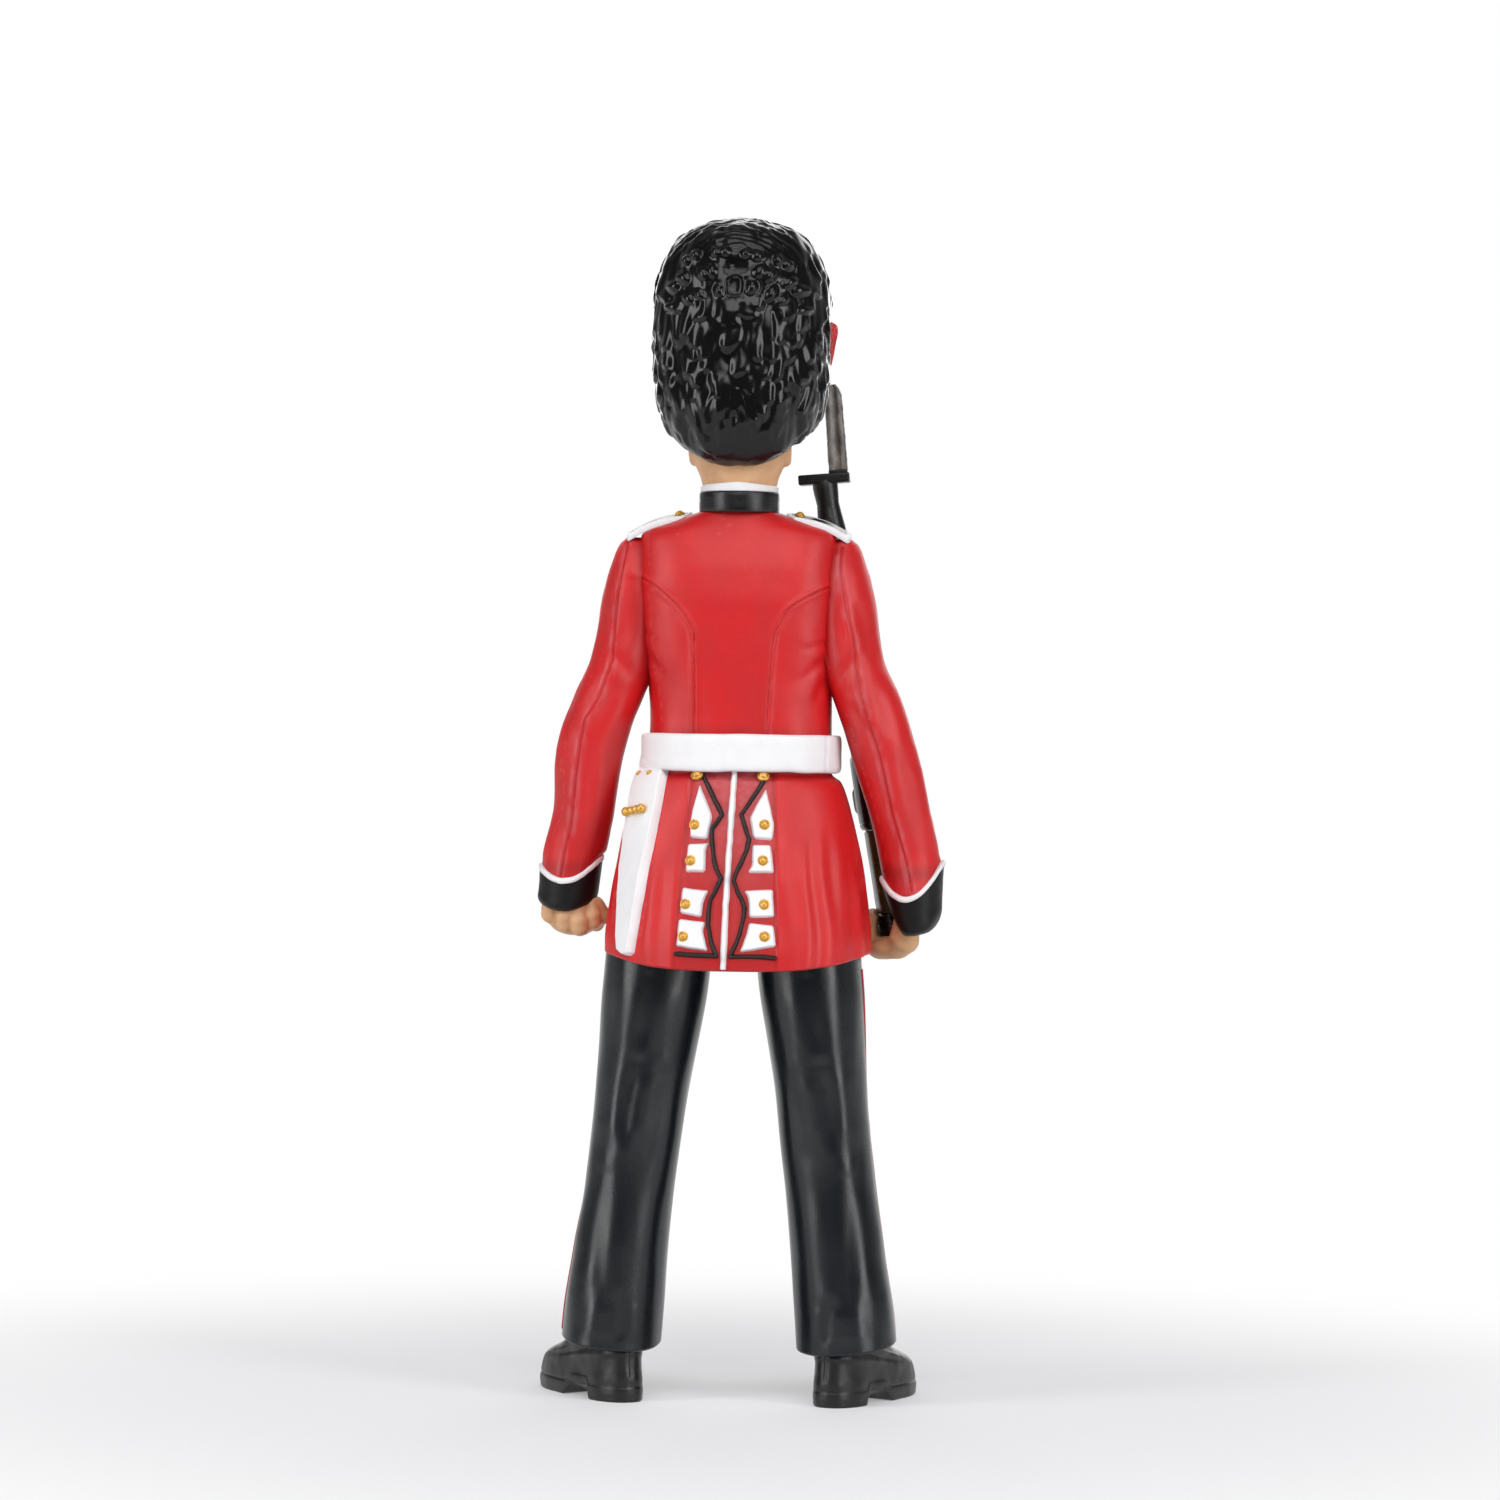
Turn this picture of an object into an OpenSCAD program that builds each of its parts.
// Toy guardsman: a standing figure in a tall fur cap, tailed coat and dark trousers, with a rifle
// held upright at its right side. Millimetres, +Z up, standing on z = 0 and facing -Y, so that the
// figure's own right side is at -X. Each painted relief of one colour is a piece of its own.

/* [Heights] */
// From the ground to the hem of the coat
leg_h = 38.6; // [36:0.1:41]
// From the hem of the coat to the belt
coat_h = 17.2; // [15:0.1:20]
// Height of the belt
belt_h = 3.3; // [2.6:0.1:4]
// From the belt to the foot of the collar
chest_h = 19.6; // [18:0.1:21]
// Height of the collar
collar_h = 2.2; // [1.8:0.1:2.6]
// Bare neck between the collar and the cap, at the nape
nape_h = 2.5; // [2:0.1:3]
// Height of the cap, from its lowest edge to its crown
cap_h = 21.6; // [19:0.1:24]

/* [Head and cap] */
// Width of the cap
cap_w = 15.8; // [14.5:0.1:17]
// Depth of the cap from front to back
cap_d = 17; // [15.5:0.1:18.5]
// How far the cap's front edge stands above its back edge
cap_rise = 4.6; // [3.6:0.1:5.4]
// Width of the face
head_w = 8.2; // [7.6:0.1:8.8]
// Depth of the head from the face to the nape
head_d = 9.6; // [9:0.1:10.2]
// Height of the head from the chin to the crown
head_h = 12.6; // [11.6:0.1:13.6]
// Width of the neck
neck_w = 6.2; // [5.6:0.1:6.6]
// Height of the plume
plume_h = 4.6; // [3.6:0.1:5.6]
// Width of the plume from front to back
plume_w = 3; // [2.4:0.1:3.6]
// How far the plume stands out of the fur
plume_t = 0.7; // [0.5:0.1:1.1]

/* [Coat] */
// Width of the chest at the arm seams
chest_w = 17.4; // [16.6:0.1:18.2]
// Depth of the chest
chest_d = 12.2; // [11.4:0.1:13]
// Width of the collar
collar_w = 7.1; // [6.9:0.1:7.6]
// Width of the coat at its hem
hem_w = 23.4; // [22:0.1:25]
// Depth of the coat at its hem
hem_d = 17.6; // [16.6:0.1:18.6]
// Height of the folds in the coat's tails
fold_t = 0.22; // [0:0.01:0.35]
// Thickness of the belt
belt_t = 0.8; // [0.5:0.05:1.1]
// Thickness of the flat relief trim
trim_t = 0.28; // [0.2:0.01:0.4]
// Width of the white piping
piping_w = 0.62; // [0.5:0.01:0.8]
// Width of the shoulder straps
strap_w = 3.4; // [2.8:0.1:4]
// Radius of the coat's buttons
button_r = 0.46; // [0.38:0.01:0.55]

/* [Arms] */
// From the body's middle to each arm's axis at the shoulder
shoulder_x = 9.2; // [8.9:0.1:9.5]
// From the body's middle to the left wrist
left_wrist_x = 14.7; // [14:0.1:15.4]
// From the body's middle to the right wrist
right_wrist_x = 15.7; // [15:0.1:16.4]
// Length of the sleeve above its cuff
sleeve_h = 30.1; // [29:0.1:32]
// Width of the sleeve at the elbow
sleeve_w = 5.9; // [5.4:0.1:6.4]
// Height of the black cuff
cuff_h = 3.2; // [2.6:0.1:3.8]
// Width of the cuff
cuff_w = 5.5; // [5.2:0.1:5.8]
// Width of the fist
hand_w = 5; // [4.6:0.1:5.4]
// Height of the fist below the cuff
hand_h = 2.6; // [2.2:0.1:3]

/* [Legs and boots] */
// From the body's middle to each leg's axis at the hip
hip_x = 6.5; // [6.2:0.1:7]
// From the body's middle to each leg's axis at the ankle
ankle_x = 10.5; // [9.8:0.1:11.2]
// Width of the trouser leg below the coat
thigh_w = 9.4; // [8.8:0.1:9.8]
// Width of the trouser leg at the hem
trouser_w = 8.8; // [8.2:0.1:9.4]
// Height of the trouser hem above the ground
trouser_z = 5.4; // [5:0.1:6.4]
// Width of the red stripe on the trousers
stripe_w = 1.3; // [0.9:0.1:1.8]
// Length of the boot
boot_l = 15.4; // [14.4:0.1:16.4]
// Width of the boot
boot_w = 5.7; // [5.3:0.1:6.2]
// Height of the boot's heel block
heel_h = 1.9; // [1.5:0.1:2.3]
// Angle of the left foot from straight ahead
left_toe_out = 34; // [20:1:36]
// Angle of the right foot from straight ahead
right_toe_out = 24; // [14:1:28]

/* [Rifle] */
// Length of the rifle from the butt to the muzzle
rifle_l = 39; // [37:0.5:41]
// Width of the butt
stock_w = 2.5; // [2.2:0.1:2.8]
// Depth of the butt from front to back
stock_d = 3.4; // [3:0.1:3.8]
// Radius of the barrel
barrel_r = 0.65; // [0.5:0.05:0.8]
// Length of the magazine
magazine_l = 5.2; // [4.4:0.1:6]
// Length of the bayonet's blade
blade_l = 8.4; // [7:0.1:9.4]
// Width of the bayonet's blade
blade_w = 1.75; // [1.4:0.05:2]

/* [Hidden] */

// Sides of a body ring, of a limb ring and of a small ring
body_sides = 40;
limb_sides = 28;
small_sides = 16;
// Facets of a peg or a socket
peg_fn = 32;
// Gap between two glued pieces, and between a peg and its socket
glue_gap = 0.03;
peg_gap = 0.05;
// How far a cutting shape runs past what it cuts
overrun = 1;

// Levels, each stacked on the one below
belt_z = leg_h + coat_h;
waist_z = belt_z + belt_h / 2;
collar_z = belt_z + belt_h + chest_h;
neck_z = collar_z + collar_h;
cap_z = neck_z + nape_h;
cuff_top_z = collar_z - chest_h * 0.117 - sleeve_h;

// Pegs: radius and length of each
peg_r = 1.2;
peg_l = 2.2;
waist_peg_r = 3;
waist_peg_l = 3;

// Share of the boot that lies behind the ankle's axis
heel_back = 0.265;

// Ring of points round an oval. The ring lies at height z, round mid, with half sizes half.
// A square above 2 gives it corners, lift raises its front and wave both of its sides, and folds
// gives it that many upright folds of height fold.
function oval(z, mid, half, square = 2, lift = 0, wave = 0, fold = 0, folds = 0, sides = body_sides) =
    [for (i = [0 : sides - 1])
        let (
            t = 360 * i / sides,
            c = cos(t),
            s = sin(t),
            more = fold * cos(folds * t)
        )
        [
            mid.x + (half.x + more) * sign(c) * pow(abs(c), 2 / square),
            mid.y + (half.y + more) * sign(s) * pow(abs(s), 2 / square),
            z + lift * pow((1 - s) / 2, 1.5) + wave * cos(2 * t)
        ]
    ];

function middle(ring) = [for (k = [0 : 2]) [for (p = ring) p[k]] * [for (p = ring) 1] / len(ring)];

// Solid skin over a stack of rings, from the lowest to the highest, closed flat at both ends
module loft(rings) {
    n = len(rings[0]);
    last = len(rings) - 1;
    low = n * (last + 1);
    high = low + 1;
    polyhedron(
        points = [for (ring = rings) each ring, middle(rings[0]), middle(rings[last])],
        faces = [
            for (j = [0 : last - 1])
                for (i = [0 : n - 1])
                    let (a = n * j + i, b = n * j + (i + 1) % n)
                    each [[a, a + n, b + n], [a, b + n, b]],
            for (i = [0 : n - 1]) [low, i, (i + 1) % n],
            for (i = [0 : n - 1]) [high, n * last + (i + 1) % n, n * last + i]
        ],
        convexity = 8
    );
}

// Upright peg or socket that starts at a point and runs up
module upright(place, r, length) {
    translate(place) cylinder(r = r, h = length, $fn = peg_fn);
}

// Peg or socket that starts at a point and runs towards +X, or towards -X for side -1
module sideways(place, r, length, side = 1) {
    translate(place) rotate([0, side * 90, 0]) cylinder(r = r, h = length, $fn = peg_fn);
}

// Dome of a button with its shank, standing on z = 0 with the shank below
module button(r, shank_l) {
    rotate_extrude($fn = peg_fn) polygon([
        [0, -shank_l],
        [r * 0.4, -shank_l],
        [r * 0.4, 0],
        [r, 0],
        [r, r * 0.25],
        [r * 0.85, r * 0.5],
        [r * 0.5, r * 0.72],
        [0, r * 0.8]
    ]);
}

// Body under the coat: shares of the height above the waist, of half the width, of half the depth,
// and of the depth by which the ring lies back
torso_shares = [
    [0, 0.935, 0.87, 0], [0.14, 0.925, 0.88, -0.005], [0.28, 0.94, 0.93, -0.015],
    [0.45, 0.97, 0.985, -0.03], [0.61, 1, 1, -0.035], [0.75, 1.01, 0.94, -0.025],
    [0.845, 0.985, 0.82, -0.005], [0.9, 0.885, 0.72, 0.01], [0.945, 0.725, 0.63, 0.018],
    [0.978, 0.565, 0.57, 0.02], [1, 0.43, 0.545, 0.02]
];

module torso_form(grow = 0, low = 0) {
    rise = collar_z - waist_z;
    loft([for (row = torso_shares)
        oval(
            waist_z + row[0] * rise + (row[0] == 0 ? -low : 0) + (row[0] == 1 ? grow : 0),
            [0, row[3] * chest_d],
            [row[1] * chest_w / 2 + grow, row[2] * chest_d / 2 + grow],
            2.35
        )
    ]);
}

// Tails of the coat: shares of the height from the hem up to the waist, of the way from the waist's
// half width out to the hem's, of the same way in depth, of the fold height and of the backward
// shift
skirt_shares = [
    [0, 1, 1, 1, 1], [0.04, 1, 1, 1, 1], [0.22, 0.918, 0.874, 0.9, 0.8],
    [0.42, 0.787, 0.685, 0.65, 0.6], [0.6, 0.639, 0.496, 0.4, 0.35], [0.78, 0.409, 0.295, 0.15, 0.1],
    [0.87, 0.213, 0.144, 0, 0.03], [0.905, 0, 0, 0, 0], [1, 0, 0, 0, 0]
];
waist_half = [torso_shares[0][1] * chest_w / 2, torso_shares[0][2] * chest_d / 2];
skirt_folds = 18;
coat_back_shift = hem_d * 0.03;
skirt_square = 2.2;

function skirt_half(row, grow) = [
    waist_half.x + row[1] * (hem_w / 2 - waist_half.x) + grow,
    waist_half.y + row[2] * (hem_d / 2 - waist_half.y) + grow
];

module skirt_form(grow = 0) {
    rise = waist_z - leg_h;
    loft([for (row = skirt_shares)
        oval(
            leg_h + row[0] * rise,
            [0, row[4] * coat_back_shift],
            skirt_half(row, grow),
            skirt_square,
            fold = row[3] * fold_t,
            folds = skirt_folds,
            sides = 2 * body_sides
        )
    ]);
}

// Thin skin over the coat's tails, from which the flat trim is cut
module skirt_skin(thick, gap = glue_gap) {
    difference() {
        skirt_form(thick + gap);
        skirt_form(gap);
    }
}

// Thin skin over the coat's body
module torso_skin(thick, gap = glue_gap) {
    difference() {
        torso_form(thick + gap);
        torso_form(gap, overrun);
    }
}

// Flat drawing in the XZ plane, run from the body's middle out of its back, or of its front
module behind() {
    translate([0, hem_d, 0]) rotate([90, 0, 0]) linear_extrude(hem_d) children();
}

module in_front() {
    rotate([90, 0, 0]) linear_extrude(hem_d) children();
}

// Flat drawing and its mirror image
module both_sides() {
    for (side = [0, 1]) mirror([side, 0, 0]) children();
}

// Upright strip of the piping's width, between two heights
module piping_strip(low_z, high_z) {
    translate([-piping_w / 2, low_z]) square([piping_w, high_z - low_z]);
}

// Head: shares of the height above the chin, of half the width, and of the depth at which the
// ring's front and back lie
chin_z = neck_z + nape_h / 8;
head_mid_y = head_d * 0.02;
head_shares = [
    [0, 0.34, -0.475, 0.35], [0.03, 0.5, -0.49, 0.355], [0.1, 0.76, -0.49, 0.37],
    [0.2, 0.9, -0.485, 0.4], [0.33, 0.965, -0.48, 0.45], [0.42, 0.985, -0.475, 0.48],
    [0.53, 1, -0.46, 0.5], [0.66, 1, -0.465, 0.5], [0.8, 0.93, -0.42, 0.46], [0.92, 0.7, -0.3, 0.34],
    [1, 0.3, -0.12, 0.14]
];

module skull(grow = 0) {
    neck_half = [neck_w / 2 + grow, neck_w * 0.53 + grow];
    neck_mid = [0, head_d * 0.06];
    loft([
        oval(collar_z, neck_mid, neck_half, sides = limb_sides),
        oval(chin_z - nape_h / 10, neck_mid, neck_half, sides = limb_sides),
        for (row = head_shares)
            oval(
                chin_z + row[0] * head_h + (row[0] == 1 ? grow : 0),
                [0, (row[2] + row[3]) / 2 * head_d + head_mid_y],
                [row[1] * head_w / 2 + grow, (row[3] - row[2]) / 2 * head_d + grow],
                2.25,
                sides = limb_sides
            )
    ]);
}

module head() {
    nose_z = chin_z + head_h * 0.36;
    nose_r = head_w * 0.07;
    face_y = head_mid_y - head_d * 0.475;
    ear_z = chin_z + head_h * 0.2;
    color("burlywood") stand() {
        skull();
        hull() {
            translate([0, face_y - nose_r, nose_z]) sphere(r = nose_r, $fn = small_sides);
            translate([0, face_y, nose_z]) sphere(r = 2 * nose_r, $fn = small_sides);
            translate([0, face_y + nose_r, nose_z + head_h * 0.2]) sphere(r = nose_r, $fn = small_sides);
        }
        for (side = [-1, 1]) hull() {
            for (k = [0, 1])
                translate([side * head_w * (0.47 + 0.02 * k), head_mid_y, ear_z + k * head_h * 0.13])
                    sphere(r = head_w * (0.07 + 0.015 * k), $fn = small_sides);
        }
        upright([0, head_d * 0.06, collar_z - peg_l], peg_r, peg_l + overrun);
    }
}

// Cap: shares of its height, and of half its width and depth
cap_shares = [
    [0, 0.55], [0.035, 0.72], [0.08, 0.84], [0.14, 0.915], [0.22, 0.96], [0.36, 0.99], [0.55, 1],
    [0.7, 0.98], [0.8, 0.925], [0.87, 0.84], [0.925, 0.71], [0.965, 0.5], [0.985, 0.3], [1, 0.08]
];

module bearskin_cap() {
    color("black") stand() difference() {
        loft([for (row = cap_shares)
            oval(
                cap_z + row[0] * cap_h,
                [0, 0],
                [row[1] * cap_w / 2, row[1] * cap_d / 2],
                2.15,
                lift = cap_rise * max(0, 1 - row[0] / 0.45)
            )
        ]);
        skull(glue_gap);
        for (side = [-1, 1])
            translate([side * head_w * 0.49, head_mid_y, chin_z + head_h * 0.37])
                cube([head_w * 0.2, head_w * 0.24, head_h * 0.27], center = true);
        sideways(plume_seat(), peg_gap + plume_w * 0.15, cap_w * 0.15 + overrun, -1);
    }
}

function plume_z() = cap_z + cap_h * 0.46;
function plume_seat() = [-cap_w * 0.38, -plume_w * 0.25, plume_z()];

module plume() {
    shares = [[0, 0.15], [0.12, 0.45], [0.35, 0.8], [0.65, 1], [0.85, 0.85], [0.97, 0.5], [1, 0.2]];
    foot_z = plume_z() - plume_h / 2;
    color("crimson") stand() {
        difference() {
            loft([for (row = shares)
                oval(
                    foot_z + row[0] * plume_h,
                    [-cap_w / 2 + plume_t, -plume_w * 0.25],
                    [2 * plume_t * (0.4 + 0.6 * row[1]), row[1] * plume_w / 2],
                    sides = small_sides
                )
            ]);
            cap_core();
        }
        sideways(plume_seat() - [peg_gap, 0, 0], plume_w * 0.15, cap_w * 0.13, -1);
    }
}

// Plain form of the cap's fur, against which the plume is cut
module cap_core() {
    loft([for (row = cap_shares) if (row[0] > 0.2 && row[0] < 0.9)
        oval(
            cap_z + row[0] * cap_h,
            [0, 0],
            [row[1] * cap_w / 2 + glue_gap, row[1] * cap_d / 2 + glue_gap],
            2.15,
            lift = cap_rise * max(0, 1 - row[0] / 0.45)
        )
    ]);
}

// Curb chain under the lower lip, from one side of the cap to the other
module chin_chain() {
    chain_t = head_w * 0.05;
    drop = head_h * 0.3;
    low_z = chin_z + head_h * 0.1;
    color("gold") stand() intersection() {
        difference() {
            skull(chain_t + glue_gap);
            skull(glue_gap);
        }
        translate([0, head_mid_y - head_d * 0.08, 0]) in_front() polygon([
            [-head_w, low_z + drop],
            [-head_w * 0.3, low_z],
            [head_w * 0.3, low_z],
            [head_w, low_z + drop],
            [head_w, low_z + drop + head_h * 0.09],
            [head_w * 0.26, low_z + head_h * 0.07],
            [-head_w * 0.26, low_z + head_h * 0.07],
            [-head_w, low_z + drop + head_h * 0.09]
        ]);
    }
}

// Collar: an upright band round the neck
module neck_ring(low_z, high_z, half_w) {
    grow = half_w - neck_w / 2;
    neck_mid = [0, head_d * 0.06];
    difference() {
        loft([for (z = [low_z, high_z])
            oval(z, neck_mid, [half_w, neck_w * 0.53 + grow], sides = limb_sides)
        ]);
        loft([for (z = [low_z - overrun, high_z + overrun])
            oval(
                z,
                neck_mid,
                [neck_w / 2 + glue_gap, neck_w * 0.53 + glue_gap],
                sides = limb_sides
            )
        ]);
    }
}

collar_piping_h = collar_h * 0.2;

module collar_band() {
    color("black") stand()
        neck_ring(collar_z + glue_gap, neck_z - collar_piping_h, collar_w / 2);
}

module collar_piping() {
    color("white") stand()
        neck_ring(neck_z - collar_piping_h + glue_gap, neck_z, collar_w / 2 - piping_w / 6);
}

// Sockets for the arms in the coat's shoulders
arm_peg_z = collar_z - chest_h * 0.38;

module tunic_body() {
    color("firebrick") stand() {
        difference() {
            torso_form();
            upright([0, head_d * 0.06, collar_z - peg_l - peg_gap], peg_r + peg_gap, peg_l + overrun);
            for (side = [-1, 1])
                sideways([side * chest_w * 0.36, 0, arm_peg_z], peg_r + peg_gap, chest_w / 4, side);
        }
        upright([0, 0, waist_z - waist_peg_l], waist_peg_r, waist_peg_l + overrun);
    }
}

module front_piping() {
    color("white") stand() {
        intersection() {
            torso_skin(trim_t);
            in_front() piping_strip(belt_z + belt_h + glue_gap, collar_z - chest_h * 0.04);
        }
        intersection() {
            skirt_skin(trim_t);
            in_front() piping_strip(leg_h, belt_z - glue_gap);
        }
    }
}

// Front of the coat's body at a share of its height above the waist
function torso_row(share) = [for (i = [1 : len(torso_shares) - 1])
    let (a = torso_shares[i - 1], b = torso_shares[i])
    if (share >= a[0] && share <= b[0]) a + (b - a) * (share - a[0]) / (b[0] - a[0])
][0];

function torso_front_y(share) =
    let (row = torso_row(share)) row[3] * chest_d - row[2] * chest_d / 2;

// Four pairs of buttons beside the front piping
button_pair_shares = [0.2, 0.28, 0.46, 0.54, 0.71, 0.79];

module tunic_buttons() {
    color("goldenrod") stand()
        for (share = button_pair_shares)
            translate([
                -piping_w - button_r,
                torso_front_y(share) - glue_gap,
                waist_z + share * (collar_z - waist_z)
            ])
                rotate([90, 0, 0]) button(button_r, 0);
}

// Shoulder strap: a flat board that lies on the shoulder from the collar to the arm
strap_in = [chest_w * 0.235, collar_z - chest_h * 0.015];
strap_out = [chest_w * 0.565, collar_z - chest_h * 0.132];
strap_t = trim_t * 1.6;
strap_shares = [0, 0.35, 0.7, 1];
strap_arch = chest_h * 0.012;

// Board of a given width and thickness along the shoulder, between two shares of its length
module strap_board(width, thick, from, to, sink = 0) {
    steps = 4;
    places = [for (k = [0 : steps])
        let (share = from + (to - from) * k / steps)
        strap_in + (strap_out - strap_in) * share + [0, 4 * strap_arch * share * (1 - share)]
    ];
    outline = [
        for (p = places) [p.x, p.y + strap_t - thick - sink],
        for (k = [steps : -1 : 0]) [places[k].x, places[k].y + strap_t]
    ];
    translate([0, width / 2 + chest_d * 0.02, 0]) rotate([90, 0, 0]) linear_extrude(width)
        polygon(outline);
}

module strap_field(side) {
    color("darkslategray") stand() mirror([side < 0 ? 1 : 0, 0, 0])
        strap_board(strap_w - 2 * piping_w - 2 * glue_gap, strap_t / 2, 0.07, 0.95);
}

module strap_edge(side) {
    color("white") stand() mirror([side < 0 ? 1 : 0, 0, 0]) difference() {
        strap_board(strap_w, strap_t, 0, 1, strap_t);
        translate([0, 0, glue_gap])
            strap_board(strap_w - 2 * piping_w, strap_t / 2 + 2 * glue_gap, 0.06, 0.96);
        torso_form(glue_gap);
        arm_form(left_arm_shares, left_wrist_x, glue_gap);
    }
}

module shoulder_strap_left() { strap_field(1); }
module shoulder_strap_right() { strap_field(-1); }
module strap_piping_left() { strap_edge(1); }
module strap_piping_right() { strap_edge(-1); }

module shoulder_buttons() {
    share = 0.16;
    place = strap_in + (strap_out - strap_in) * share + [0, 4 * strap_arch * share * (1 - share)];
    color("goldenrod") stand() for (side = [-1, 1])
        translate([side * place.x, chest_d * 0.02, place.y + strap_t + glue_gap])
            rotate([0, side * atan2(chest_h * 0.06, chest_w * 0.33), 0]) button(button_r, 0);
}

// Arms: shares of the sleeve's height above the cuff, of the way from the shoulder's axis to the
// wrist, of half the elbow's width, of half its depth, and of the width by which the ring lies back
left_arm_shares = [
    [0, 1, 0.875, 0.9, -0.12], [0.08, 0.96, 0.9, 0.9, -0.08], [0.2, 0.875, 0.9, 0.93, 0.02],
    [0.34, 0.74, 0.97, 1, 0.09], [0.435, 0.6, 1.05, 1.06, 0.12], [0.53, 0.41, 1.05, 1.12, 0.1],
    [0.655, 0.135, 1.03, 1.2, 0.04], [0.78, 0.03, 1.02, 1.22, 0], [0.88, 0, 0.87, 1.16, 0],
    [0.945, -0.02, 0.64, 0.94, 0], [0.985, -0.02, 0.42, 0.62, 0], [1, -0.02, 0.2, 0.3, 0]
];
right_arm_shares = [
    [0, 1, 0.875, 0.9, -0.2], [0.08, 0.96, 0.87, 0.9, -0.16], [0.2, 0.85, 0.88, 0.93, -0.03],
    [0.34, 0.68, 0.94, 1, 0.06], [0.435, 0.52, 0.99, 1.06, 0.1], [0.53, 0.35, 0.98, 1.12, 0.09],
    [0.655, 0.11, 1.03, 1.2, 0.04], [0.78, 0.02, 1.02, 1.22, 0], [0.88, 0, 0.87, 1.16, 0],
    [0.945, -0.02, 0.64, 0.94, 0], [0.985, -0.02, 0.42, 0.62, 0], [1, -0.02, 0.2, 0.3, 0]
];
cuff_wave = cuff_h * 0.22;

module arm_form(shares, wrist_x, grow = 0) {
    loft([for (row = shares)
        oval(
            cuff_top_z + row[0] * sleeve_h + (row[0] == 1 ? grow : 0) - (row[0] == 0 ? grow : 0),
            [shoulder_x + row[1] * (wrist_x - shoulder_x), row[4] * sleeve_w],
            [row[2] * sleeve_w / 2 + grow, row[3] * sleeve_w / 2 + grow],
            wave = row[0] == 0 ? cuff_wave : 0,
            sides = limb_sides
        )
    ]);
}

function wrist(shares, wrist_x) = [wrist_x, shares[0][4] * sleeve_w, cuff_top_z];

module sleeve(shares, wrist_x, side) {
    color("firebrick") stand() mirror([side < 0 ? 1 : 0, 0, 0]) {
        difference() {
            arm_form(shares, wrist_x);
            torso_form(glue_gap);
            upright(
                wrist(shares, wrist_x) - [0, 0, cuff_wave + overrun],
                peg_r + peg_gap,
                peg_l + cuff_wave + overrun
            );
        }
        sideways([chest_w * 0.38, 0, arm_peg_z], peg_r, chest_w / 6);
    }
}

module sleeve_left() { sleeve(left_arm_shares, left_wrist_x, 1); }
module sleeve_right() { sleeve(right_arm_shares, right_wrist_x, -1); }

// Piping round the top of a cuff, and the black cuff below it
module wrist_band(shares, wrist_x, low, high, grow, wave_low) {
    place = wrist(shares, wrist_x);
    half = [cuff_w / 2 + grow, cuff_w * 0.515 + grow];
    loft([
        oval(place.z + low, [place.x, place.y], half, wave = wave_low, sides = limb_sides),
        oval(place.z + high, [place.x, place.y], half, wave = cuff_wave, sides = limb_sides)
    ]);
}

cuff_piping_h = piping_w * 0.85;

// The lower edge lies out from the cuff's axis and is narrower, in shares of the cuff's width.
module cuff(shares, wrist_x, side, low_out, low_half) {
    place = wrist(shares, wrist_x);
    color("black") stand() mirror([side < 0 ? 1 : 0, 0, 0]) difference() {
        loft([
            oval(
                place.z - cuff_h,
                [place.x + low_out * cuff_w, place.y],
                [low_half * cuff_w, cuff_w * 0.47],
                sides = limb_sides
            ),
            oval(
                place.z - cuff_h * 0.88,
                [place.x + low_out * cuff_w * 0.85, place.y],
                [(low_half + 0.03) * cuff_w, cuff_w * 0.5],
                sides = limb_sides
            ),
            oval(
                place.z - glue_gap,
                [place.x, place.y],
                [cuff_w / 2, cuff_w * 0.515],
                wave = cuff_wave,
                sides = limb_sides
            )
        ]);
        upright(place - [0, 0, cuff_h + overrun], peg_r + peg_gap, cuff_h + 2 * overrun + cuff_wave);
    }
}

module cuff_left() { cuff(left_arm_shares, left_wrist_x, 1, 0, 0.46); }
module cuff_right() { cuff(right_arm_shares, right_wrist_x, -1, 0.1, 0.38); }

module cuff_piping(shares, wrist_x, side) {
    color("white") stand() mirror([side < 0 ? 1 : 0, 0, 0]) difference() {
        wrist_band(shares, wrist_x, 0, cuff_piping_h, trim_t / 3, cuff_wave);
        arm_form(shares, wrist_x, glue_gap);
    }
}

module cuff_piping_left() { cuff_piping(left_arm_shares, left_wrist_x, 1); }
module cuff_piping_right() { cuff_piping(right_arm_shares, right_wrist_x, -1); }

// Closed hand: a palm under the cuff with four curled fingers, and the peg that joins it to the arm
module fist(place, turn) {
    finger_r = hand_w * 0.145;
    palm_z = place.z - cuff_h;
    translate([place.x, place.y, palm_z]) rotate([0, 0, turn]) {
        loft([
            oval(-hand_h * 0.92, [0, 0], [hand_w * 0.26, hand_w * 0.2], 2.4, sides = limb_sides),
            oval(-hand_h * 0.72, [0, 0], [hand_w * 0.43, hand_w * 0.34], 2.4, sides = limb_sides),
            oval(-hand_h * 0.35, [0, 0], [hand_w * 0.48, hand_w * 0.4], 2.4, sides = limb_sides),
            oval(-glue_gap, [0, 0], [hand_w * 0.42, hand_w * 0.38], 2.4, sides = limb_sides)
        ]);
        for (k = [0 : 3]) hull() {
            x = hand_w * (-0.34 + 0.215 * k);
            low = -hand_h * (1 - finger_r / hand_h) + hand_h * 0.09 * abs(k - 1.6);
            translate([x, hand_w * 0.26, low]) sphere(r = finger_r, $fn = small_sides);
            translate([x, hand_w * 0.32, low + hand_h * 0.42]) sphere(r = finger_r, $fn = small_sides);
        }
        upright([0, 0, -hand_h / 3], peg_r, cuff_h + peg_l + hand_h / 3 - peg_gap);
    }
}

module hand_left() {
    color("burlywood") stand() fist(wrist(left_arm_shares, left_wrist_x), 0);
}

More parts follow.
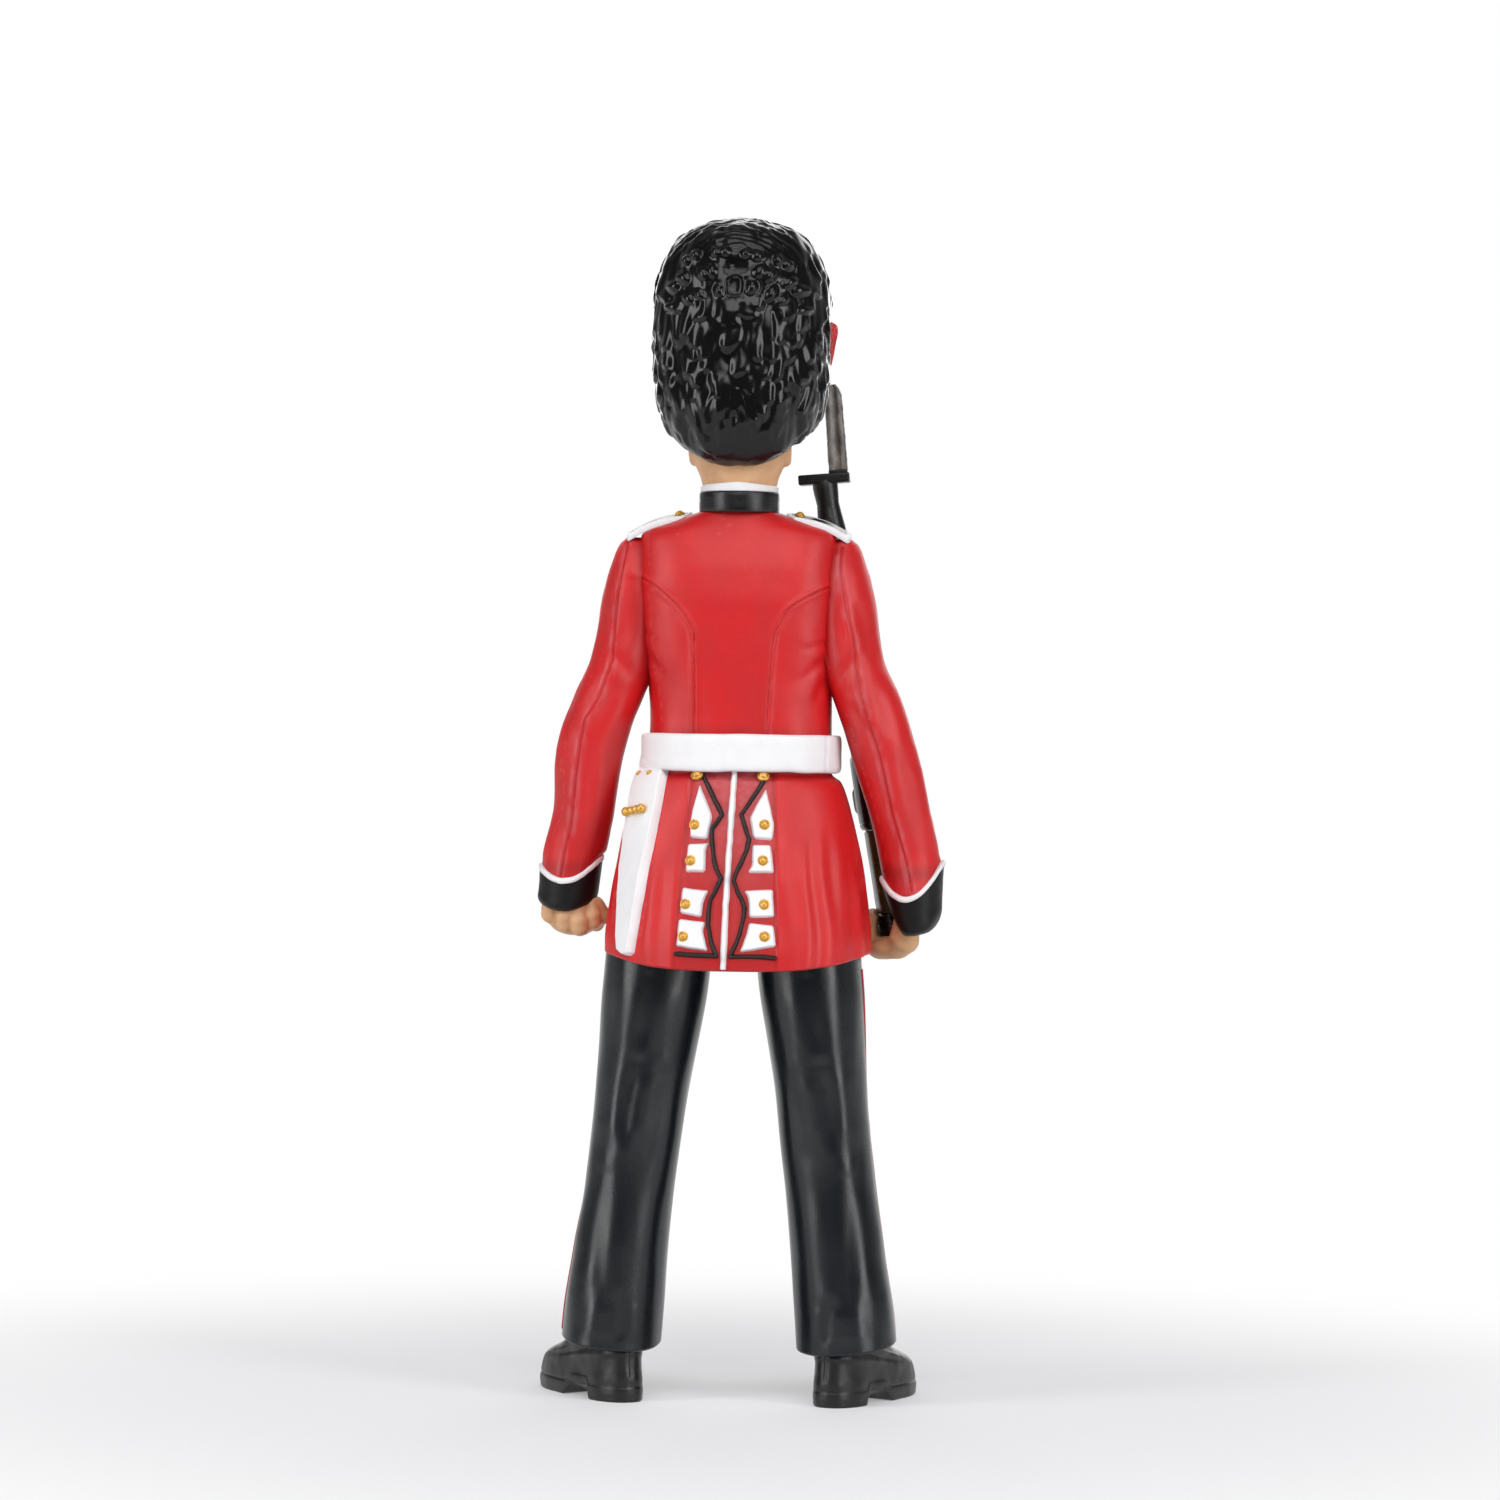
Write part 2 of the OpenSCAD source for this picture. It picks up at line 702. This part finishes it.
// The right hand is cupped under the rifle's butt, which stands in front of the wrist. Shares of
// the hand's height below the cuff, and of its width: the ring's middle inwards and forwards, and
// its half width and half depth.
cup_shares = [
    [1.35, 0.3, 0.5, 0.24, 0.3], [1.2, 0.3, 0.5, 0.44, 0.52], [0.85, 0.3, 0.48, 0.53, 0.62],
    [0.45, 0.3, 0.42, 0.52, 0.62], [0.2, 0.2, 0.25, 0.5, 0.52], [0, 0.05, 0.05, 0.42, 0.42]
];

module hand_right() {
    place = wrist(right_arm_shares, right_wrist_x);
    palm_z = place.z - cuff_h;
    color("burlywood") stand() difference() {
        mirror([1, 0, 0]) translate([place.x, place.y, palm_z]) {
            loft([for (row = cup_shares)
                oval(
                    -row[0] * hand_h - glue_gap,
                    [-row[1] * hand_w, -row[2] * hand_w],
                    [row[3] * hand_w, row[4] * hand_w],
                    2.3,
                    sides = limb_sides
                )
            ]);
            upright([0, 0, -hand_h / 3], peg_r, cuff_h + peg_l + hand_h / 3 - peg_gap);
        }
        rifle_at() {
            rifle_form(butt_shares, glue_gap);
            rifle_form(stock_shares, glue_gap);
        }
    }
}

// Belt round the waist, and its plate in front
module belt() {
    color("white") stand() difference() {
        loft([for (z = [belt_z, belt_z + belt_h])
            oval(
                z,
                [0, 0],
                [waist_half.x + belt_t, waist_half.y + belt_t],
                2.3,
                sides = 2 * body_sides
            )
        ]);
        loft([for (z = [belt_z - overrun, belt_z + belt_h + overrun])
            oval(
                z,
                [0, 0],
                [waist_half.x + glue_gap, waist_half.y + glue_gap],
                2.3,
                sides = 2 * body_sides
            )
        ]);
    }
}

module belt_buckle() {
    plate_w = belt_h * 1.15;
    front_y = -waist_half.y - belt_t;
    color("goldenrod") stand()
        translate([-plate_w / 2, front_y - belt_t * 0.6 - glue_gap, belt_z + belt_h * 0.05])
            cube([plate_w, belt_t * 0.6, belt_h * 0.9]);
}

// Coat tails: a thick skirt, hollow a little way up from the hem, with the legs in sockets above
skirt_wall = 1.1;
skirt_recess = 2.4;

module skirt_hollow(shrink = 0) {
    loft([for (k = [0, 1])
        let (inset = skirt_wall + fold_t + k * skirt_wall / 2 + shrink)
        oval(
            leg_h - overrun + k * (skirt_recess + overrun),
            [0, coat_back_shift],
            [hem_w / 2 - inset, hem_d / 2 - inset],
            skirt_square
        )
    ]);
}

module coat_skirt() {
    color("firebrick") stand() difference() {
        intersection() {
            skirt_form();
            translate([-hem_w, -hem_w, 0]) cube([2 * hem_w, 2 * hem_w, waist_z - glue_gap]);
        }
        skirt_hollow();
        upright([0, 0, waist_z - waist_peg_l - peg_gap], waist_peg_r + peg_gap, waist_peg_l + overrun);
        for (side = [-1, 1])
            upright(
                [side * hip_x, 0, leg_h],
                peg_r * 1.5 + peg_gap,
                skirt_recess + peg_l * 1.5 + peg_gap
            );
    }
}

// Trim on the coat's back, in shares of half the hem's width and of the height from hem to belt.
// The vent runs up the middle, and each side has a braid, four slashes and their buttons.
function on_back(share) = [share.x * hem_w / 2, leg_h + share.y * coat_h];

module vent_piping() {
    color("white") stand() intersection() {
        skirt_skin(trim_t);
        behind() piping_strip(leg_h, belt_z - glue_gap);
    }
}

braid_shares = [
    [0.215, 0.95], [0.095, 0.76], [0.165, 0.64], [0.155, 0.575], [0.11, 0.47], [0.07, 0.43],
    [0.135, 0.36], [0.165, 0.26], [0.14, 0.15], [0.07, 0.06]
];
braid_foot_shares = [[0.07, 0.06], [0.4, 0.045]];
braid_w = piping_w * 0.6;

// Flat ribbon of the braid's width along a row of points
module ribbon(points) {
    for (i = [1 : len(points) - 1])
        hull() for (p = [points[i - 1], points[i]]) translate(p) circle(r = braid_w / 2, $fn = 12);
}

module braid_outline() {
    ribbon([for (share = braid_shares) on_back(share)]);
    ribbon([for (share = braid_foot_shares) on_back(share)]);
}

module skirt_braids() {
    color("black") stand() intersection() {
        skirt_skin(trim_t);
        behind() both_sides() braid_outline();
    }
}

slash_shares = [
    [[0.235, 0.9], [0.3, 0.84], [0.285, 0.7], [0.295, 0.61], [0.2, 0.605], [0.175, 0.75]],
    [[0.19, 0.555], [0.195, 0.5], [0.195, 0.415], [0.355, 0.42], [0.345, 0.57]],
    [[0.175, 0.33], [0.21, 0.25], [0.215, 0.185], [0.385, 0.2], [0.375, 0.345]],
    [[0.2, 0.155], [0.215, 0.085], [0.18, 0.01], [0.43, 0.03], [0.4, 0.185]]
];
slash_button_shares = [[0.235, 0.685], [0.285, 0.49], [0.31, 0.27], [0.33, 0.105]];

module skirt_slashes() {
    color("white") stand() intersection() {
        skirt_skin(trim_t);
        behind() both_sides() for (slash = slash_shares) polygon([for (share = slash) on_back(share)]);
    }
}

// Back of the skirt at a share of its height from hem to waist, x away from the middle
function skirt_row(share) = [for (i = [1 : len(skirt_shares) - 1])
    let (a = skirt_shares[i - 1], b = skirt_shares[i])
    if (share >= a[0] && share <= b[0]) a + (b - a) * (share - a[0]) / (b[0] - a[0])
][0];

// The surface lies out by grow from the tails themselves.
function skirt_back_y(x, z, grow = 0) =
    let (
        row = skirt_row((z - leg_h) / (waist_z - leg_h)),
        half = skirt_half(row, grow),
        t = acos(pow(min(1, abs(x) / half.x), skirt_square / 2)),
        more = row[3] * fold_t * cos(skirt_folds * t)
    )
    row[4] * coat_back_shift + (half.y + more) * pow(sin(t), 2 / skirt_square);

// Button that sits on trim of a given thickness and leans with the surface
module skirt_button(share, r, seat) {
    place = on_back(share);
    y = skirt_back_y(place.x, place.y, seat);
    lean = atan2(
        skirt_back_y(place.x, place.y - r, seat) - skirt_back_y(place.x, place.y + r, seat),
        2 * r
    );
    turn = atan2(
        skirt_back_y(place.x + r, place.y, seat) - skirt_back_y(place.x - r, place.y, seat),
        2 * r
    );
    translate([place.x, y, place.y]) rotate([0, 0, turn]) rotate([lean - 90, 0, 0]) button(r, 0);
}

waist_button_share = [0.235, 0.965];

module skirt_buttons() {
    color("goldenrod") stand() for (side = [-1, 1]) mirror([side < 0 ? 1 : 0, 0, 0]) {
        for (share = slash_button_shares) skirt_button(share, button_r, trim_t + 2 * glue_gap);
        skirt_button(waist_button_share, button_r * 1.15, trim_t + 2 * glue_gap);
    }
}

// Bayonet's scabbard in its white frog, hung from the belt at the left and lying on the tails
scabbard_t = 0.9;
scabbard_shares = [
    [0.55, 0.995], [0.76, 0.995], [0.775, 0.93], [0.84, 0.79], [0.88, 0.56], [0.915, 0.36],
    [0.915, 0.07], [0.88, 0.03], [0.76, 0.045], [0.7, 0.3], [0.64, 0.6], [0.58, 0.85]
];

module scabbard() {
    color("white") stand() intersection() {
        skirt_skin(scabbard_t);
        behind() polygon([for (share = scabbard_shares) on_back(share)]);
    }
}

scabbard_stud_shares = [[0.655, 0.955], [0.725, 0.955]];
scabbard_bar_shares = [[0.72, 0.74], [0.775, 0.745], [0.82, 0.75]];

module scabbard_fittings() {
    seat = scabbard_t + 2 * glue_gap;
    color("goldenrod") stand() {
        for (share = scabbard_stud_shares) skirt_button(share, button_r * 0.6, seat);
        hull() for (share = scabbard_bar_shares)
            let (place = on_back(share), r = button_r * 0.75)
            translate([place.x, skirt_back_y(place.x, place.y, seat) + 1.15 * r, place.y])
                sphere(r = r, $fn = small_sides);
    }
}

// Trouser leg: shares of the height from the hem to its top, of the way from the ankle to the hip,
// of half the width blended from the hem's to the thigh's, and of that width as half the depth
leg_top_z = leg_h + skirt_recess - glue_gap;
trouser_shares = [
    [0, 0, 0, 1.08], [0.07, 0.05, -0.05, 1.07], [0.24, 0.22, -0.75, 1.06], [0.4, 0.4, -1.4, 1.06],
    [0.56, 0.57, -1.2, 1.08], [0.72, 0.74, -0.35, 1.1], [0.88, 0.9, 0.85, 1.1], [1, 1, 1.05, 1.1]
];
trouser_back_lift = 1.7;

module trouser_form(grow = 0) {
    loft([for (row = trouser_shares)
        let (half = (trouser_w + row[2] * (thigh_w - trouser_w)) / 2)
        oval(
            trouser_z - trouser_back_lift / 3 + row[0] * (leg_top_z - trouser_z + trouser_back_lift / 3),
            [ankle_x + row[1] * (hip_x - ankle_x), 0],
            [half + grow, half * row[3] + grow],
            2.1,
            lift = trouser_back_lift * max(0, 1 - row[0] / 0.2),
            sides = limb_sides
        )
    ]);
}

module trouser_leg(toe_out) {
    difference() {
        trouser_form();
        difference() {
            translate([-hem_w, -hem_w, leg_h - glue_gap])
                cube([2 * hem_w, 2 * hem_w, skirt_recess + overrun]);
            skirt_hollow(glue_gap);
        }
        foot(toe_out) boot_form(glue_gap);
        foot(toe_out) upright([0, 0, 0], peg_r * 1.4 + peg_gap, trouser_z + peg_l * 2 + peg_gap);
    }
    upright([hip_x, 0, leg_top_z - overrun], peg_r * 1.5, peg_l * 1.5 + overrun);
}

module trouser_leg_left() {
    color("darkslategray") stand() trouser_leg(left_toe_out);
}

module trouser_leg_right() {
    color("darkslategray") stand() mirror([1, 0, 0]) trouser_leg(right_toe_out);
}

module trouser_stripe() {
    intersection() {
        difference() {
            trouser_form(trim_t * 0.6 + glue_gap);
            trouser_form(glue_gap);
        }
        translate([hip_x, -stripe_w / 2, trouser_z + trouser_back_lift / 2])
            cube([ankle_x, stripe_w, leg_h - trouser_z - trouser_back_lift / 2]);
    }
}

module trouser_stripe_left() { color("crimson") stand() trouser_stripe(); }
module trouser_stripe_right() { color("crimson") stand() mirror([1, 0, 0]) trouser_stripe(); }

// Boot, drawn with the ankle's axis at the origin and the toe towards -Y: shares of the length at
// which a ring's back and front lie, of half the width, and heights as shares of the heel's
boot_shares = [
    [0, 0, 1, 0.97], [0.42, -0.005, 1.01, 1], [0.45, 0.01, 0.99, 0.95], [1, 0, 0.99, 0.955],
    [1.5, 0.005, 0.96, 0.92], [1.95, 0.01, 0.87, 0.88], [2.4, 0.02, 0.7, 0.85],
    [3, 0.03, 0.57, 0.82], [3.9, 0.045, 0.5, 0.8]
];

module boot_form(grow = 0) {
    loft([for (row = boot_shares)
        oval(
            row[0] * heel_h + (row[0] == 0 ? -grow : 0),
            [0, (heel_back - (row[1] + row[2]) / 2) * boot_l],
            [row[3] * boot_w / 2 + grow, (row[2] - row[1]) / 2 * boot_l + grow],
            2.5,
            sides = limb_sides
        )
    ]);
}

module foot(toe_out) {
    translate([ankle_x, 0, 0]) rotate([0, 0, toe_out]) children();
}

module boot(toe_out) {
    arch_r = heel_h * 1.1;
    foot(toe_out) {
        difference() {
            boot_form();
            sideways(
                [-boot_w, (heel_back - 0.38) * boot_l, heel_h * 0.62 - arch_r],
                arch_r,
                2 * boot_w
            );
        }
        upright([0, 0, heel_h], peg_r * 1.4, trouser_z + peg_l * 2 - heel_h);
    }
}

module boot_left() {
    color("black") stand() boot(left_toe_out);
}

module boot_right() {
    color("black") stand() mirror([1, 0, 0]) boot(right_toe_out);
}

// Rifle, drawn upright with its butt on z = 0 and its underside towards -Y. It stands in front of
// the right hand's wrist and leans inwards, up to the front of the shoulder.
rifle_turn = 15;
rifle_wrist = wrist(right_arm_shares, right_wrist_x);
rifle_foot = [
    -rifle_wrist.x + hand_w * 0.35,
    rifle_wrist.y - cuff_w * 0.515 - stock_d * 0.52,
    rifle_wrist.z - cuff_h - hand_h * 0.67
];
guard_share = 1.035;
// A rifle so long that its guard reaches up beside the cap stands further out
beside_cap = max(0, rifle_foot.z + rifle_l * guard_share - cap_z - cap_rise / 2);
muzzle_out = cap_w * 0.47 + beside_cap * 0.8;
rifle_lean = asin((-rifle_foot.x - muzzle_out) / rifle_l);

module rifle_at() {
    translate(rifle_foot) rotate([0, rifle_lean, 0]) rotate([0, 0, rifle_turn]) children();
}

// Solid along the rifle: shares of its length, of the butt's width and depth, and of the depth by
// which the ring lies back
module rifle_form(shares, grow = 0) {
    last = len(shares) - 1;
    loft([for (k = [0 : last])
        let (row = shares[k])
        oval(
            row[0] * rifle_l + (k == 0 ? -grow : 0) + (k == last ? grow : 0),
            [0, row[3] * stock_d],
            [row[1] * stock_w / 2 + grow, row[2] * stock_d / 2 + grow],
            3.4,
            sides = small_sides
        )
    ]);
}

butt_shares = [[0, 0.9, 0.94, 0], [0.008, 1, 1, 0], [0.05, 1, 1, 0]];
stock_shares = [[0.051, 0.94, 0.97, 0], [0.12, 0.84, 0.84, 0.04], [0.205, 0.76, 0.72, 0.08]];
receiver_shares = [[0.206, 0.98, 0.78, 0.06], [0.225, 1.12, 0.86, 0.06], [0.44, 1.12, 0.86, 0.03],
    [0.54, 0.8, 0.66, 0]];
handguard_shares = [[0.541, 0.7, 0.56, 0], [0.58, 0.78, 0.64, 0], [0.74, 0.7, 0.54, 0],
    [0.77, 0.56, 0.44, 0]];
barrel_low_share = 0.48;

module rifle_butt_plate() {
    color("black") stand() rifle_at() rifle_form(butt_shares);
}

module rifle_stock() {
    color("darkolivegreen") stand() rifle_at() rifle_form(stock_shares);
}

module barrel_bore(low_share, high_share) {
    upright([0, 0, rifle_l * low_share], barrel_r + peg_gap, rifle_l * (high_share - low_share));
}

module rifle_receiver() {
    color("dimgray") stand() rifle_at() difference() {
        rifle_form(receiver_shares);
        barrel_bore(barrel_low_share, 0.6);
    }
}

module rifle_handguard() {
    color("darkolivegreen") stand() rifle_at() difference() {
        rifle_form(handguard_shares);
        barrel_bore(0.5, 0.8);
    }
}

// Curved magazine and pistol grip, both on the underside of the receiver
module rifle_magazine() {
    seat_y = -stock_d * (0.43 - 0.045) - glue_gap;
    w = stock_w * 0.5;
    d = stock_d * 0.1;
    color("black") stand() rifle_at() hull() {
        translate([-w / 2, seat_y - d, rifle_l * 0.285]) cube([w, d, magazine_l * 0.6]);
        translate([-w / 2, seat_y - magazine_l * 0.65, rifle_l * 0.27]) cube([w, d, magazine_l * 0.56]);
        translate([-w / 2, seat_y - magazine_l, rifle_l * 0.285]) cube([w, d, magazine_l * 0.48]);
    }
}

module rifle_grip() {
    seat_y = -stock_d * (0.43 - 0.045) - glue_gap;
    w = stock_w * 0.44;
    d = stock_d * 0.1;
    color("black") stand() rifle_at() hull() {
        translate([-w / 2, seat_y - d, rifle_l * 0.4]) cube([w, d, magazine_l * 0.32]);
        translate([-w / 2, seat_y - magazine_l * 0.6, rifle_l * 0.375]) cube([w, d, magazine_l * 0.3]);
    }
}

module rifle_barrel() {
    low = rifle_l * barrel_low_share + peg_gap;
    sight_d = barrel_r * 2;
    color("dimgray") stand() rifle_at() {
        upright([0, 0, low], barrel_r, rifle_l - low);
        upright([0, 0, rifle_l * 0.83], barrel_r * 1.5, rifle_l * 0.04);
        translate([-barrel_r * 0.35, 0, rifle_l * 0.835])
            cube([barrel_r * 0.7, barrel_r + sight_d, rifle_l * 0.03]);
    }
}

// Bayonet: a socket over the muzzle, a cross guard and a blade with a bevelled tip. The blade stands
// outwards of the socket and leans back upright.
blade_lean = -4.8;

module bayonet() {
    hilt_low = rifle_l * 0.9;
    guard_z = rifle_l * guard_share;
    guard_t = barrel_r * 1.45;
    guard_d = barrel_r * 3.2;
    guard_w = blade_w * 2.65;
    blade_t = blade_w * 0.42;
    out = blade_w * 0.75;
    color("dimgray") stand() rifle_at() rotate([0, 0, -rifle_turn]) {
        difference() {
            union() {
                upright([0, 0, hilt_low], barrel_r * 1.85, guard_z - hilt_low + guard_t / 2);
                translate([-out - blade_w * 0.6, -guard_d / 2, guard_z])
                    cube([guard_w, guard_d, guard_t]);
            }
            upright(
                [0, 0, hilt_low - overrun],
                barrel_r + peg_gap,
                rifle_l * 1.0 - hilt_low + overrun + peg_gap
            );
        }
        translate([-out, blade_t / 2, guard_z + guard_t / 2]) rotate([0, blade_lean, 0])
            rotate([90, 0, 0]) linear_extrude(blade_t) polygon([
                [-blade_w / 2, 0],
                [blade_w / 2, 0],
                [blade_w * 0.45, blade_l * 0.88],
                [blade_w * 0.2, blade_l],
                [-blade_w * 0.2, blade_l],
                [-blade_w * 0.45, blade_l * 0.9]
            ]);
    }
}

// Box of the whole figure, which puts the origin under its middle
reach_left = ankle_x + boot_l * (1 - heel_back) * sin(left_toe_out) + boot_w * 0.17;
reach_right = right_wrist_x + cuff_w / 2 + trim_t / 3;
reach_back = hem_d / 2 + coat_back_shift + fold_t + trim_t;
reach_front = stock_d * 0.385 + magazine_l - rifle_foot.y;
mid_x = (reach_left - reach_right) / 2;
mid_y = (reach_back - reach_front) / 2;

// Puts a piece that is drawn round the body's upright axis into the figure's own frame
module stand() {
    translate([-mid_x, -mid_y, 0]) children();
}

bearskin_cap();
plume();
head();
chin_chain();
collar_band();
collar_piping();
tunic_body();
front_piping();
tunic_buttons();
shoulder_strap_left();
shoulder_strap_right();
strap_piping_left();
strap_piping_right();
shoulder_buttons();
sleeve_left();
sleeve_right();
cuff_left();
cuff_right();
cuff_piping_left();
cuff_piping_right();
hand_left();
hand_right();
belt();
belt_buckle();
coat_skirt();
vent_piping();
skirt_braids();
skirt_slashes();
skirt_buttons();
scabbard();
scabbard_fittings();
trouser_leg_left();
trouser_leg_right();
trouser_stripe_left();
trouser_stripe_right();
boot_left();
boot_right();
rifle_receiver();
rifle_barrel();
rifle_magazine();
rifle_grip();
rifle_stock();
rifle_handguard();
rifle_butt_plate();
bayonet();
